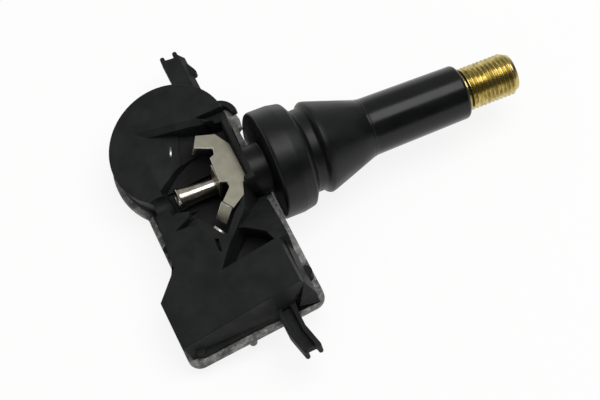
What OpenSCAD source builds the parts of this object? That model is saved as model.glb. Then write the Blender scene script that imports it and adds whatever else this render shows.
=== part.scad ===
// Snap-in tyre pressure sensor. The origin is the centre of the rim-seat groove on the valve's axis.
// +X runs along the valve to its tip, +Y along the housing to the battery end, +Z to the tyre side.
// All lengths are in millimetres and all angles in degrees.

/* [Rubber valve] */
// Radius at the bottom of the groove that the rim's hole edge sits in
groove_r = 7.5; // [7.2:0.1:7.9]
// Width of the groove, for the thickness of the rim's sheet
groove_w = 1.7; // [1.4:0.1:2.2]
// Radius of the flange on the tyre side of the rim
flange_r = 9.8; // [9.4:0.1:10.1]
// Length of the flange, from the groove's side to its inner face
flange_l = 7.15; // [6.6:0.05:7.6]
// Length of the chamfer from the flange down to the groove
flange_chamfer = 1.15; // [0.8:0.05:1.5]
// Radius of the rounded inner edge of the flange
flange_round = 0.6; // [0.3:0.1:1.2]
// Radius of the snap-in bulge on the outer side of the rim
bulge_r = 8.35; // [8.1:0.05:8.7]
// Length of the cone from the bulge to the sleeve
cone_l = 10.0; // [9:0.2:11]
// Radius of the sleeve where the cone meets it
sleeve_r = 5.2; // [5.1:0.05:5.6]
// Radius of the sleeve at its open end
sleeve_tip_r = 4.93; // [4.7:0.05:5.05]
// Length of the sleeve
sleeve_l = 18.4; // [17:0.2:20]
// Radius of the boss between the flange and the housing's seat wall
boss_r = 4.6; // [4.2:0.1:5.0]
// Length of that boss
boss_l = 3.6; // [3.4:0.1:3.8]

/* [Brass stem] */
// Outer radius of the cap thread
thread_r = 3.85; // [3.7:0.05:3.9]
// Length of the stem that stands out of the rubber
thread_l = 10.1; // [9:0.1:10.5]
// Radius of the stem inside the rubber
stem_r = 3.2; // [3.1:0.1:3.5]
// Radius of the ring that anchors the stem in the rubber
anchor_r = 4.1; // [3.8:0.1:4.4]
// Radius of the bore that the valve core screws into
core_bore_r = 2.55; // [2.5:0.05:2.65]
// Radius of the air passage behind the core
passage_r = 1.9; // [1.85:0.05:2.0]

/* [Valve core] */
// Length of the core's threaded plug
plug_l = 4.4; // [4:0.2:5]
// Depth of the plug's outer end below the stem's tip
plug_sink = 0.6; // [0.4:0.1:0.8]
// Width of the driver slot across the plug
plug_slot_w = 1.1; // [1:0.1:1.2]
// Radius of the core's body below the plug
barrel_r = 1.95; // [1.9:0.05:2.1]
// Length of the core's body below the plug
barrel_l = 7.5; // [7:0.25:8]
// Radius of the spring chamber in the body
chamber_r = 1.45; // [1.4:0.05:1.5]
// Radius of the core pin
pin_r = 0.5; // [0.45:0.05:0.55]
// Depth of the pin's head below the stem's tip
pin_sink = 0.15; // [0.1:0.05:0.3]
// Travel of the pin when a gauge or a pump presses it
pin_travel = 1.2; // [1:0.05:1.25]
// Thickness of the rubber seal on the pin's inner end
seal_t = 0.9; // [0.8:0.05:1.0]

/* [Nickel tube] */
// Outer radius of the tube
tube_r = 1.55; // [1.5:0.05:1.65]
// Inner radius of the tube
tube_bore_r = 1.05; // [0.95:0.05:1.15]
// Radius of the flared inner end
flare_r = 2.05; // [1.9:0.05:2.2]
// Length of the flare
flare_l = 5.0; // [3:0.5:6]
// Distance from the origin to the flared end
tube_reach = 24.2; // [23.8:0.2:24.6]

/* [Housing] */
// Angle of the housing's top face above the valve's axis
face_tilt = 20.5; // [19.5:0.5:21.5]
// Angle of the back cover above the valve's axis
base_tilt = 10; // [9:0.5:11]
// Height of the top face above the valve's axis, measured square to the face
face_h = 10.0; // [9.8:0.1:10.3]
// Depth of the back cover's outer face below the valve's axis, measured square to the cover
base_drop = 2.0; // [1.8:0.1:2.2]
// Thickness of the back cover
cover_t = 1.2; // [1.0:0.1:1.3]
// Thickness of the housing's walls
wall_t = 1.1; // [1:0.05:1.2]
// Radius of the battery tower
disc_r = 11.15; // [10.9:0.05:11.4]
// Width of the cover's rim round the battery tower
rim_w = 1.5; // [1.2:0.1:1.8]
// Length of the electronics bay along the valve
bay_l = 22.8; // [22.2:0.2:23.4]
// Width of the electronics bay across the valve
bay_w = 9.1; // [8.6:0.1:9.4]
// Radius of the cover's corners
cover_corner = 2.2; // [1.5:0.1:3.2]

/* [Feet] */
// Width of each locating foot at its root
foot_w = 3.25; // [3:0.05:3.4]
// Width of the two rails of a foot
foot_rail = 0.85; // [0.7:0.05:1.0]
// Depth of a foot, square to the cover
foot_d = 2.8; // [2.5:0.1:3.0]
// Reach of the battery side's foot past the cover's rim
foot_reach_battery = 7.5; // [7:0.1:8]
// Reach of the bay side's foot past the cover's rim
foot_reach_bay = 8.1; // [7.6:0.1:8.6]

/* [Clip] */
// Thickness of the clip's spring steel
clip_t = 0.5; // [0.4:0.05:0.6]
// Height of the clip's underside above the valve's axis
clip_z = 3.7; // [3.5:0.1:3.9]

/* [Electronics] */
// Radius of the lithium coin cell
cell_r = 8.0; // [7.8:0.05:8.05]
// Thickness of the coin cell
cell_t = 2.5; // [2.3:0.1:2.6]
// Thickness of the circuit board
board_t = 0.8; // [0.6:0.1:0.9]
// Side of the pressure sensor's package
chip_w = 6.0; // [5.6:0.1:6.2]
// Height of the pressure sensor's package
chip_t = 1.9; // [1.7:0.1:2.0]

/* [Hidden] */
$fn = 96;
eps = 0.01;
far = 80;

black = "#2a2c2e";
rubber_black = "#222524";
cover_grey = "#77797a";
spring_steel = "#b9b8ae";
nickel = "#c8c4ba";
brass = "#c9a24e";
board_green = "#2c5a3c";
chip_black = "#1b1c1e";

// Places along the valve
flange_in_x = -groove_w / 2 - flange_l;
boss_in_x = flange_in_x - boss_l;
bulge_x = groove_w / 2 + 0.65;
sleeve_x = bulge_x + cone_l;
sleeve_end_x = sleeve_x + sleeve_l;
tip_x = sleeve_end_x + thread_l;
stem_in_x = flange_in_x + 2;
tube_out_x = stem_in_x + 4;
anchor_x = bulge_x + 1.5;
anchor_w = 2;

// Places in the valve core, from the tip inwards
plug_out_x = tip_x - plug_sink;
plug_in_x = plug_out_x - plug_l;
barrel_in_x = plug_in_x - barrel_l;
chamber_out_x = plug_in_x - 0.4;
chamber_in_x = barrel_in_x + 1.5;
pin_hole_r = pin_r + 0.3;
collar_t = 0.5;
collar_x = chamber_out_x - 0.1 - collar_t;
cup_t = 0.7;
rivet_t = 0.4;
seal_x = barrel_in_x - seal_t;
cup_x = seal_x - cup_t;
rivet_x = cup_x - rivet_t;
bore_floor_x = cup_x - pin_travel - 0.1;
gasket_w = 1.4;
gasket_out_x = plug_in_x - 1.2;
gasket_in_x = gasket_out_x - gasket_w;
gasket_seat_r = barrel_r - 0.2;

// The housing's plan in the plane of its top face: x along the rising face, y across it
disc = [-19.4, 9.65];
bay_left = -32.8;
bay_right = bay_left + bay_l;
bay_low = -25.6;
bay_high = bay_low + bay_w;
waist = [-28.4, -11.9];
neck_left = [-26.7, 1.5];
bay_corner = [bay_left, -16.1];
ridge_foot = [-20.9, bay_high];
ridge_head = [-15.4, -11.2];

// Levels and edges in the frame of the base
cover_out_z = -base_drop;
cover_in_z = cover_out_z + cover_t;
skirt_z = cover_in_z + 1.3;
rim_gap = 0.12;
base_right = (flange_in_x - rim_gap - base_drop * sin(base_tilt)) / cos(base_tilt);
skirt_right = base_right - 1.25;
base_disc = [-19.65, 9.7];
base_disc_r = disc_r + rim_w;
base_left = -34.1;
base_low = -27.1;
base_low_left = base_low - 0.6;
base_neck_x = -29.7;

// The cell lies on its lower tab, and the board on the cover
cell = [-19.9, 11.5];
tab_t = 0.15;
cell_z = cover_in_z + tab_t;
cell_top_z = cell_z + cell_t;
board_top_z = cover_in_z + board_t;
board_end_y = 3;
leg_y = 3.35;

// Floor of the pocket that the tube lies in, under the valve's axis
pocket_z = -flare_r - 0.15;
// Seat wall that the tube passes through
seat_out_x = boss_in_x;
seat_in_x = seat_out_x - 2.2;
seat_low_y = -4.5;
seat_top_z = 6.3;
lip_t = 0.8;
clip_right = seat_out_x - lip_t - 0.05;
face_right = -9.4;
pocket_right = -9.3;

module on_face() rotate([0, -face_tilt, 0]) children();
module on_base() rotate([0, -base_tilt, 0]) children();
module valve_turn(points) rotate([90, 0, 90]) rotate_extrude() polygon(points);

// Points of an arc between two directions
function arc(cx, cy, r, a0, a1, n = 8) =
    [for (i = [0:n]) [cx + r * cos(a0 + (a1 - a0) * i / n), cy + r * sin(a0 + (a1 - a0) * i / n)]];

module valve_rubber() color(rubber_black) valve_turn(concat(
    [[tube_r, boss_in_x], [boss_r - 0.4, boss_in_x], [boss_r, boss_in_x + 0.4], [boss_r, flange_in_x]],
    arc(flange_r - flange_round, flange_in_x + flange_round, flange_round, -90, 0),
    [[flange_r, flange_in_x + flange_l * 0.54], [flange_r - 0.4, -groove_w / 2 - flange_chamfer],
     [groove_r, -groove_w / 2], [groove_r, groove_w / 2],
     [bulge_r - 0.3, bulge_x - 0.25], [bulge_r, bulge_x + 0.2], [bulge_r - 0.12, bulge_x + 0.9],
     [sleeve_r + 0.12, sleeve_x - 0.5], [sleeve_r, sleeve_x + 0.5],
     [sleeve_tip_r, sleeve_end_x - 0.4], [sleeve_tip_r - 0.35, sleeve_end_x],
     [stem_r, sleeve_end_x], [stem_r, anchor_x + anchor_w], [anchor_r, anchor_x + anchor_w],
     [anchor_r, anchor_x], [stem_r, anchor_x], [stem_r, stem_in_x], [tube_r, stem_in_x]]));

module valve_stem() color(brass) valve_turn([
    [tube_r, stem_in_x], [stem_r, stem_in_x], [stem_r, anchor_x], [anchor_r, anchor_x],
    [anchor_r, anchor_x + anchor_w], [stem_r, anchor_x + anchor_w], [stem_r, sleeve_end_x + 0.1],
    [thread_r, sleeve_end_x + 0.4], [thread_r, tip_x - 0.8], [thread_r - 0.5, tip_x],
    [core_bore_r + 0.35, tip_x], [core_bore_r, tip_x - 0.4], [core_bore_r, bore_floor_x],
    [passage_r, bore_floor_x - 0.4], [passage_r, tube_out_x + 1], [tube_bore_r, tube_out_x + 0.4],
    [tube_bore_r, tube_out_x], [tube_r, tube_out_x]]);

// The flare is a trumpet curve along the tube's last stretch
flare_steps = 8;
function flare_at(i) = (flare_r - tube_r) * pow(1 - i / flare_steps, 2);
function flare_x(i) = -tube_reach + flare_l * i / flare_steps;
module valve_tube() color(nickel) valve_turn(concat(
    [for (i = [0:flare_steps]) [tube_r + flare_at(i), flare_x(i)]],
    [[tube_r, tube_out_x], [tube_bore_r, tube_out_x]],
    [for (i = [flare_steps:-1:0]) [tube_bore_r + flare_at(i), flare_x(i)]]));

module core_barrel() color(brass) difference() {
    valve_turn([
        [pin_hole_r, plug_out_x], [core_bore_r, plug_out_x], [core_bore_r, plug_in_x],
        [barrel_r, plug_in_x - 0.5], [barrel_r, gasket_out_x],
        [gasket_seat_r, gasket_out_x], [gasket_seat_r, gasket_in_x],
        [barrel_r, gasket_in_x], [barrel_r, barrel_in_x + 0.6], [barrel_r - 0.5, barrel_in_x],
        [pin_hole_r, barrel_in_x], [pin_hole_r, chamber_in_x], [chamber_r, chamber_in_x],
        [chamber_r, chamber_out_x], [pin_hole_r, chamber_out_x]]);
    translate([plug_out_x - 1.4, -far / 2, -plug_slot_w / 2]) cube([2, far, plug_slot_w]);
}

module core_gasket() color("white") valve_turn([
    [gasket_seat_r, gasket_out_x], [core_bore_r, gasket_out_x], [core_bore_r, gasket_out_x - 0.6],
    [barrel_r, gasket_in_x], [gasket_seat_r, gasket_in_x]]);

module core_pin() color(brass) valve_turn([
    [0, rivet_x], [pin_r + 0.25, rivet_x], [pin_r + 0.25, cup_x], [pin_r, cup_x], [pin_r, collar_x],
    [chamber_r - 0.2, collar_x], [chamber_r - 0.2, collar_x + collar_t], [pin_r, collar_x + collar_t],
    [pin_r, tip_x - pin_sink - 0.8], [pin_r + 0.2, tip_x - pin_sink - 0.5],
    [pin_r + 0.2, tip_x - pin_sink - 0.1], [pin_r + 0.1, tip_x - pin_sink], [0, tip_x - pin_sink]]);

module core_seal() color(rubber_black) valve_turn([
    [pin_r, seal_x], [barrel_r - 0.25, seal_x], [barrel_r - 0.25, barrel_in_x], [pin_r, barrel_in_x]]);

cup_rim_x = seal_x + seal_t * 0.6;
module core_cup() color(brass) valve_turn([
    [pin_r, cup_x], [barrel_r - 0.45, cup_x], [barrel_r - 0.1, cup_x + 0.3], [barrel_r - 0.1, cup_rim_x],
    [barrel_r - 0.25, cup_rim_x], [barrel_r - 0.25, seal_x], [pin_r, seal_x]]);

// The core's spring: a ring of points round the wire, swept along its helix
spring_turns = 7;
spring_wire = 0.14;
spring_r = chamber_r - 0.1 - spring_wire;
spring_steps = 14;
spring_sides = 6;
spring_n = spring_turns * spring_steps;
spring_x = chamber_in_x + spring_wire;
spring_l = collar_x - chamber_in_x - 2 * spring_wire;
function wire_ring(i) = let (a = 360 * i / spring_steps, x = spring_x + spring_l * i / spring_n)
    [for (j = [0:spring_sides - 1]) let (b = 360 * j / spring_sides, r = spring_r + spring_wire * sin(b))
        [x + spring_wire * cos(b), r * cos(a), r * sin(a)]];
function wire_side(i, j) = let (s = spring_sides, k = (j + 1) % s)
    [[i * s + j, i * s + k, (i + 1) * s + k], [i * s + j, (i + 1) * s + k, (i + 1) * s + j]];
module core_spring() color(spring_steel) polyhedron(
    [for (i = [0:spring_n]) each wire_ring(i)],
    concat([for (i = [0:spring_n - 1], j = [0:spring_sides - 1]) each wire_side(i, j)],
           [[for (j = [spring_sides - 1:-1:0]) j]],
           [[for (j = [0:spring_sides - 1]) spring_n * spring_sides + j]]));

// Outline of the walls at the top face
module neck_plan() polygon([
    neck_left, waist, bay_corner, [bay_left, bay_high - 1], [ridge_foot[0], bay_high - 1], ridge_foot,
    [-17.7, -13.1], ridge_head, [-12.6, -8.6], [-11, seat_low_y - 0.1], [face_right, seat_low_y - 0.1],
    [face_right, disc[1]], disc]);

// Outline of the cover, and of the housing's skirt on it, in the plane of the base
module base_plan(grow, right) {
    left = base_left - grow;
    corner_left = [left + cover_corner, base_low_left - grow + cover_corner];
    corner_right = [right - cover_corner, base_low - grow + cover_corner];
    intersection() {
        union() {
            translate(base_disc) circle(base_disc_r + grow);
            polygon([[base_neck_x - grow, 5], [base_neck_x - grow - 0.2, -10], [left, -15],
                     [left, corner_left[1]], corner_left, corner_left - [0, cover_corner],
                     corner_right - [0, cover_corner], corner_right, [right, corner_right[1]], [right, 5]]);
            translate(corner_left) circle(cover_corner);
            translate(corner_right) circle(cover_corner);
        }
        translate([-far, -far]) square([far + right, 2 * far]);
    }
}

// Room for the rubber boss in the edges of the cover and the skirt
module boss_room() translate([boss_in_x, 0, 0]) rotate([0, 90, 0]) cylinder(r = boss_r + 0.1, h = far);

nub = [-22.9, base_low - 0.3];
// The cover reaches past the flange's side beside the battery tower
cover_lug = [[-12, 9.9], [-7.9, 10.3], [-7.6, 12], [-7.8, 13.8], [-9.2, 15.4], [-12, 15.4]];
module back_cover() color(cover_grey) difference() {
    on_base() translate([0, 0, cover_out_z]) linear_extrude(cover_t) {
        base_plan(0, base_right);
        polygon(cover_lug);
        translate(nub) circle(0.7);
    }
    boss_room();
}

// The bay's lower side has a small step under the face and then leans outwards, as its right side does
step_d = 1.8;
side_lean = 6.5;
front_lean = 9;
// Height of the rough blocks that the towers are cut from
tower_h = 14;
module bay() intersection() {
    on_face() translate([bay_left, bay_low - 2, face_h - tower_h]) cube([bay_l + 4, bay_w + 2, tower_h]);
    on_face() translate([bay_right, 0, face_h]) rotate([0, -side_lean, 0])
        translate([-far, -far, -far]) cube([far, 2 * far, 2 * far]);
    union() {
        on_face() translate([-far, bay_low, face_h - step_d - 0.3]) cube([2 * far, far, far]);
        on_face() translate([0, bay_low, face_h - step_d]) rotate([-front_lean, 0, 0])
            translate([-far, 0, -far]) cube([2 * far, far, far]);
    }
}

module towers() intersection() {
    union() {
        on_face() translate([0, 0, face_h - tower_h]) linear_extrude(tower_h) {
            translate(disc) circle(disc_r);
            neck_plan();
        }
        bay();
    }
    on_base() translate([-far, -far, cover_in_z]) cube([far + skirt_right, 2 * far, far]);
}

// A prism that is cut square to the top face, from a depth below it upwards
module face_cut(depth, points)
    on_face() translate([0, 0, face_h - depth]) linear_extrude(far) polygon(points);
// All that lies above a plane that leaves the top face along a line and falls to the line's left
module above_slope(from, heading, slope) on_face() translate([from[0], from[1], face_h])
    rotate([0, 0, heading]) rotate([-slope, 0, 0]) translate([-far, -far, 0]) cube([2 * far, 2 * far, far]);

// The face drops along a ramp from the battery tower's middle towards the clip, under a chamfered step
ramp_x = -24.2;
ramp_angle = 24;
step_w = 1.2;
step_angle = 33;
step_start = [ramp_x, 14.9];
step_end = [-12.4, 10.9];
step_heading = atan2(step_end[1] - step_start[1], step_end[0] - step_start[0]);
ramp_low_y = 2;
module ramp() {
    in = [0, -step_w];
    touch = [0, eps];
    intersection() {
        face_cut(face_h, [[ramp_x, ramp_low_y], step_start + in, step_end + in, [step_end[0], ramp_low_y]]);
        above_slope(step_start, -90, ramp_angle);
    }
    intersection() {
        face_cut(1, [step_start + in - touch, step_start, step_end, step_end + in - touch]);
        above_slope(step_start, step_heading + 180, step_angle);
        above_slope(step_start, -90, ramp_angle);
    }
}

// Pocket round the clip and the tube: a shelf over the cell, the tube's channel and the well beside it
shelf_z = cell_top_z + tab_t + 0.85;
channel_y = flare_r + 0.4;
channel_end = [[-26.4, 0.8], [-24.8, pocket_z]];
pocket_low_y = -3;
pocket_plan = [[-24.4, 2.3], [-20.6, 5.3], [-18.3, 6.3], [-16.2, 6.6], [-15, 7.4], [-14.6, 10.2],
               [pocket_right, 8.9], [pocket_right, pocket_low_y], [-24.4, pocket_low_y]];
landing_plan = [[-19.4, 5.4], [-18.9, 8.3], [-17.8, 11.4], [-14.2, 10.4], [-14.2, 5.4]];
landing_shift = [-0.8, 0];
flare_notch = [[-23.3, -3.1], [-20.3, -4.4], [-19, -2.2], [-22, -2.2]];
side_notch = [[-24.8, -5.8], [-20.2, -4.3], [-21.6, -6.6]];
well_plan = [[-22, -2.2], [-21.5, -4], [-19.1, -8.2], [-18, -10.9], [-17.2, -11.2], [-15.2, -9],
             [-13.3, -7.5], [-12.4, -4.9], [-12.4, -2.2]];
slope_start = [-22.6, -6];
slope_heading = -57.6;
slope_angle = 38;
slope_plan = [slope_start, [-19.4, -11.05], [-17.9, -11], [-19, -8], [-21.4, -3.9]];
slot_plan = [[-19.7, -10.8], [-19, -11.2], [-19.4, -13.6], [-19.9, -13.4]];
recess_plan = [[-13.3, 11.3], [-10.8, 10.95], [-7, 10.4], [-7, 8.9], [-10.2, 8.9], [-11.7, 9.85]];
module pocket() {
    intersection() {
        face_cut(face_h, pocket_plan);
        union() {
            on_base() translate([-far, -far, shelf_z]) cube([2 * far, 2 * far, far]);
            translate([-far, -channel_y, pocket_z]) cube([far + seat_in_x, 2 * channel_y, far]);
        }
        rotate([90, 0, 0]) linear_extrude(2 * far, center = true)
            polygon(concat([[channel_end[0][0], far]], channel_end, [[far, pocket_z], [far, far]]));
    }
    // A landing under the clip's upper leg, a little below the ramp
    intersection() {
        face_cut(face_h, landing_plan);
        above_slope(step_start + landing_shift, -90, ramp_angle);
    }
    face_cut(5, flare_notch);
    face_cut(1.6, side_notch);
    // The well takes the clip's lower leg
    intersection() {
        face_cut(face_h + 2, well_plan);
        translate([-far, -far, pocket_z]) cube([far + seat_in_x, 2 * far, far]);
    }
    intersection() {
        face_cut(3, slope_plan);
        above_slope(slope_start, slope_heading, slope_angle);
    }
    face_cut(1.2, slot_plan);
    // Recess beside the step
    face_cut(1.8, recess_plan);
}

// Valley between the neck, the bay and the shoulder, whose upper edge is the curved rib seen from above
valley_z = 1.8;
bay_join_y = bay_high - 0.4;
rib = [ridge_head, [-14.3, -11.6], [-12.9, -12.9], [-11.4, -14.3], [-10.6, bay_join_y]];
module valley_floor() on_base() translate([0, 0, cover_in_z]) linear_extrude(valley_z - cover_in_z)
    polygon([[-23, bay_join_y], [-18.5, -11], [-13, -11], [-11.5, bay_join_y]]);

// The shoulder falls from the ridge and the bay's corner to the cover's edge beside the valve
shoulder_lean = 35.1;
shoulder_turn = 51;
shoulder_end = [-4, -6];
shoulder_w = 10.5;
module shoulder() intersection() {
    on_face() translate([0, 0, face_h - tower_h]) linear_extrude(tower_h) polygon(concat(rib, [
        [bay_right + 0.5, bay_join_y], [shoulder_end[0], bay_join_y], shoulder_end, [-11, shoulder_end[1]]]));
    on_face() translate([ridge_head[0], ridge_head[1], face_h - 0.3]) rotate([0, 0, shoulder_turn])
        rotate([0, shoulder_lean, 0]) translate([-far, -far, -far]) cube([2 * far, 2 * far, far]);
    on_base() translate([-far, bay_high - 0.5, cover_in_z]) cube([far + skirt_right, shoulder_w, far]);
}

// Wall that the tube passes through, with a ledge under the clip's back and a lip and a post beside it
seat_w = 12;
module seat_wall() intersection() {
    union() {
        translate([seat_in_x, seat_low_y, pocket_z - 2])
            cube([seat_out_x - seat_in_x, seat_w, clip_z - pocket_z + 2]);
        translate([seat_out_x - lip_t, seat_low_y, 0]) cube([lip_t, seat_w + 0.5, seat_top_z]);
        translate([clip_right - 0.8, seat_low_y, 0]) cube([seat_out_x - clip_right + 0.8, 0.95, seat_top_z]);
    }
    on_base() translate([-far, -far, cover_in_z]) cube([2 * far, 2 * far, far]);
}

// Small lugs on the skirt: the hooked lip beside the battery tower, and the knobs along the rim
hook = [-10.9, 13.1];
hook_r = 3.5;
hook_t = 1.5;
// Place and radius of each knob
knobs = [[-9.9, -21.4, 1.2], [-29, -6.2, 0.8], [-31.4, -25.6, 1]];
knob_h = 2.1;
module rim_details() on_base() translate([0, 0, cover_in_z]) {
    linear_extrude(hook_t) intersection() {
        difference() {
            translate(hook) circle(hook_r);
            translate(hook) circle(hook_r - 1);
        }
        translate(hook) square(hook_r + 1);
    }
    for (k = knobs) translate([k[0], k[1], 0]) cylinder(r = k[2], h = knob_h);
}

// A locating foot: two rails with round tips and a web between them, which may bend aside near the tip
foot_top_z = 2.2;
web_short = 1.0;
bend_share = 0.45;
module strip(low, high, root_y, bend_y, end_y, aside) polygon([
    [low, root_y], [low, bend_y], [low + aside, end_y],
    [high + aside, end_y], [high, bend_y], [high, root_y]]);
module foot(x, root_y, tip_y, aside, web_drop) on_base() translate([x, 0, foot_top_z - foot_d]) {
    out = sign(tip_y);
    inner = (foot_w - foot_rail) / 2;
    round_y = tip_y - out * foot_rail / 2;
    bend_y = tip_y + (root_y - tip_y) * bend_share;
    linear_extrude(foot_d) for (s = [-inner, inner]) {
        strip(s - foot_rail / 2, s + foot_rail / 2, root_y, bend_y, round_y, aside);
        translate([s + aside, round_y]) circle(foot_rail / 2);
    }
    linear_extrude(foot_d - web_drop) strip(-inner, inner, root_y, bend_y, tip_y - out * web_short, aside);
}

// The battery side's foot has a sloping flank towards the valve, with a barb on it
foot_battery_x = -13.9;
foot_bay_x = -15.6;
flank_w = 1;
flank_d = 1.6;
barb_from = 5.2;
barb_l = 2.3;
barb_w = 0.7;
function disc_rim_y(x) = base_disc[1] + sqrt(pow(base_disc_r, 2) - pow(x - base_disc[0], 2));
module flank(root_y, end_y) on_base() translate([foot_battery_x + foot_w / 2 - eps, root_y, foot_top_z])
    rotate([-90, 0, 0]) linear_extrude(end_y - root_y)
        polygon([[-0.5, 0], [0, 0], [flank_w, flank_d], [flank_w, foot_d], [-0.5, foot_d]]);
module barb(tip_y) on_base() translate([foot_battery_x + foot_w / 2, tip_y, foot_top_z - foot_d])
    linear_extrude(foot_d - flank_d + 0.4) polygon([
        [0.2, -barb_from + barb_l + 0.6], [flank_w, -barb_from + barb_l],
        [flank_w + barb_w * 0.8, -barb_from + 0.9], [flank_w + barb_w, -barb_from + 0.3],
        [flank_w + barb_w * 0.6, -barb_from], [0.2, -barb_from]]);
module feet() {
    battery_rim_y = disc_rim_y(foot_battery_x);
    battery_tip_y = battery_rim_y + foot_reach_battery;
    foot(foot_battery_x, battery_rim_y - 3, battery_tip_y, 0, 0);
    flank(battery_rim_y - 3, battery_tip_y - 1);
    barb(battery_tip_y);
    foot(foot_bay_x, bay_low + 0.5, base_low - foot_reach_bay, 0.9, 1);
}

// The housing's inside: the battery's bay, the electronics bay and a low way between them
cell_ceiling_z = cell_top_z + tab_t + 0.15;
way_x = [-26.2, -21.8];
way_z = board_top_z + 0.55;
port = [bay_right - 6.9, 2.6];
port_r = 0.6;
module cavity() {
    on_base() {
        translate([cell[0], cell[1], cover_in_z - eps])
            cylinder(r = cell_r + 0.15, h = cell_ceiling_z - cover_in_z + eps);
        translate([way_x[0], bay_high - wall_t - 1, cover_in_z - eps])
            cube([way_x[1] - way_x[0], 5 - bay_high + wall_t + 1, way_z - cover_in_z + eps]);
        translate([way_x[0], leg_y - 0.15, cover_in_z - eps])
            cube([2, 3.4, cell_ceiling_z - cover_in_z + eps]);
        translate([port[0], bay_high - wall_t - 1, port[1]])
            rotate([-90, 0, 0]) cylinder(r = port_r, h = wall_t + 2);
    }
    intersection() {
        on_face() translate([bay_left + wall_t, bay_low + wall_t, face_h - wall_t - tower_h])
            cube([bay_l - 2 * wall_t, bay_w - 2 * wall_t, tower_h]);
        on_base() translate([-far, -far, cover_in_z - eps]) cube([2 * far, 2 * far, far]);
    }
}

// Room beside the clip's lower arm
module clip_room() translate([0, 0, clip_z - 0.02]) linear_extrude(far) polygon([
    [-16.5, -8], [-14, -6.1], [clip_right - 0.85, -3.52], [clip_right + 0.04, -3.27],
    [clip_right + 0.04, -2], [-16.5, -2]]);

module housing() color(black) difference() {
    union() {
        difference() {
            towers();
            ramp();
            pocket();
        }
        on_base() translate([0, 0, cover_in_z]) linear_extrude(skirt_z - cover_in_z)
            base_plan(-1, skirt_right);
        seat_wall();
        shoulder();
        valley_floor();
        rim_details();
        feet();
    }
    rotate([0, 90, 0]) cylinder(r = tube_r, h = 2 * far, center = true);
    boss_room();
    clip_room();
    cavity();
}

// The clip: a flat back over the tube, arms that curve back and legs bent down from their ends
clip_turn = 33;
clip_back_x = -17.1;
clip_back_y = -1.95;
clip_plan = [[-14, 7.2], [-17.2, 8.2], [-18.4, 6], [-15.5, 4.65], [-15.8, 3.45], [-16.7, 3.1],
             [clip_back_x, clip_back_y], [-15.85, -2.4], [-15.9, -3.5], [-18.1, -5.7], [-17, -7.6],
             [-14.2, -5.8], [clip_right - 0.9, -3.45], [clip_right, -3.2], [clip_right, 4.3]];
leg_w = 2.2;
plate_w = 3.9;
plate_low_z = -1.2;
module clip_leg(from, turn, len, lean) translate([from[0], from[1], clip_z + clip_t])
    rotate([0, lean, turn]) translate([0, 0, -len]) cube([clip_t, leg_w, len]);
module retaining_clip() color(spring_steel) difference() {
    union() {
        translate([0, 0, clip_z]) linear_extrude(clip_t) polygon(clip_plan);
        clip_leg([-18.15, -5.6], clip_turn + 180, 3.6, -28);
        clip_leg([-18.4, 6], -28, 2.4, 10);
        translate([clip_back_x, clip_back_y, plate_low_z])
            cube([clip_t, plate_w, clip_z - plate_low_z + eps]);
    }
    rotate([0, 90, 0]) cylinder(r = tube_r, h = 2 * far, center = true);
    translate([-far, -tube_r, -far]) cube([far, 2 * tube_r, far]);
}

module battery_cell() color(nickel) on_base() translate([cell[0], cell[1], cell_z]) {
    cylinder(r = cell_r - 0.9, h = cell_t);
    translate([0, 0, 0.3]) cylinder(r = cell_r, h = cell_t - 0.3);
}

// A tab is a strip: its pad on the board, a riser, and the arm that is welded to the cell
tab_w = 1.6;
pad_y = 1.6;
module tab(x, riser_y, arm_z, arm_end_y) on_base() translate([x, 0, 0]) {
    translate([0, pad_y, board_top_z]) cube([tab_w, riser_y - pad_y + tab_t, tab_t]);
    translate([0, riser_y, min(arm_z, board_top_z)])
        cube([tab_w, tab_t, abs(arm_z - board_top_z) + tab_t]);
    translate([0, riser_y, arm_z]) cube([tab_w, arm_end_y - riser_y, tab_t]);
}
module battery_tab_positive() color(nickel) tab(way_x[0] + 0.2, leg_y, cell_top_z, 10);
module battery_tab_negative() color(nickel) tab(way_x[1] - 0.5 - tab_w, board_end_y + 0.1, cover_in_z, 9);

board_box = [bay_left + wall_t - 0.2, bay_low + wall_t + 0.1];
board_l = bay_l - 2 * wall_t - 0.4;
board_w = bay_w - 2 * wall_t - 0.2;
module circuit_board() color(board_green) on_base() translate([0, 0, cover_in_z]) linear_extrude(board_t) {
    translate(board_box) square([board_l, board_w]);
    translate([way_x[0] + 0.1, board_box[1] + 1])
        square([way_x[1] - way_x[0] - 0.2, board_end_y - board_box[1] - 1]);
}

module on_board(x, y) on_base() translate([board_box[0] + x, board_box[1] + y, board_top_z]) children();

// The sensor's lid has a hole over its membrane
chip_x = board_l - chip_w - 2.3;
lid_step = 0.3;
lid_hole_r = 0.4;
module sensor_chip() color(chip_black) on_board(chip_x, lid_step) difference() {
    union() {
        cube([chip_w, chip_w, chip_t - lid_step]);
        translate([lid_step, lid_step, 0]) cube([chip_w - 2 * lid_step, chip_w - 2 * lid_step, chip_t]);
    }
    translate([chip_w * 0.3, chip_w * 0.7, chip_t - 2 * lid_hole_r]) cylinder(r = lid_hole_r, h = 2);
}

filter_r = 1.2;
filter_t = 0.2;
module port_filter() color("white") on_base() translate([port[0], bay_high - wall_t, port[1]])
    rotate([90, 0, 0]) cylinder(r = filter_r, h = filter_t);

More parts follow.
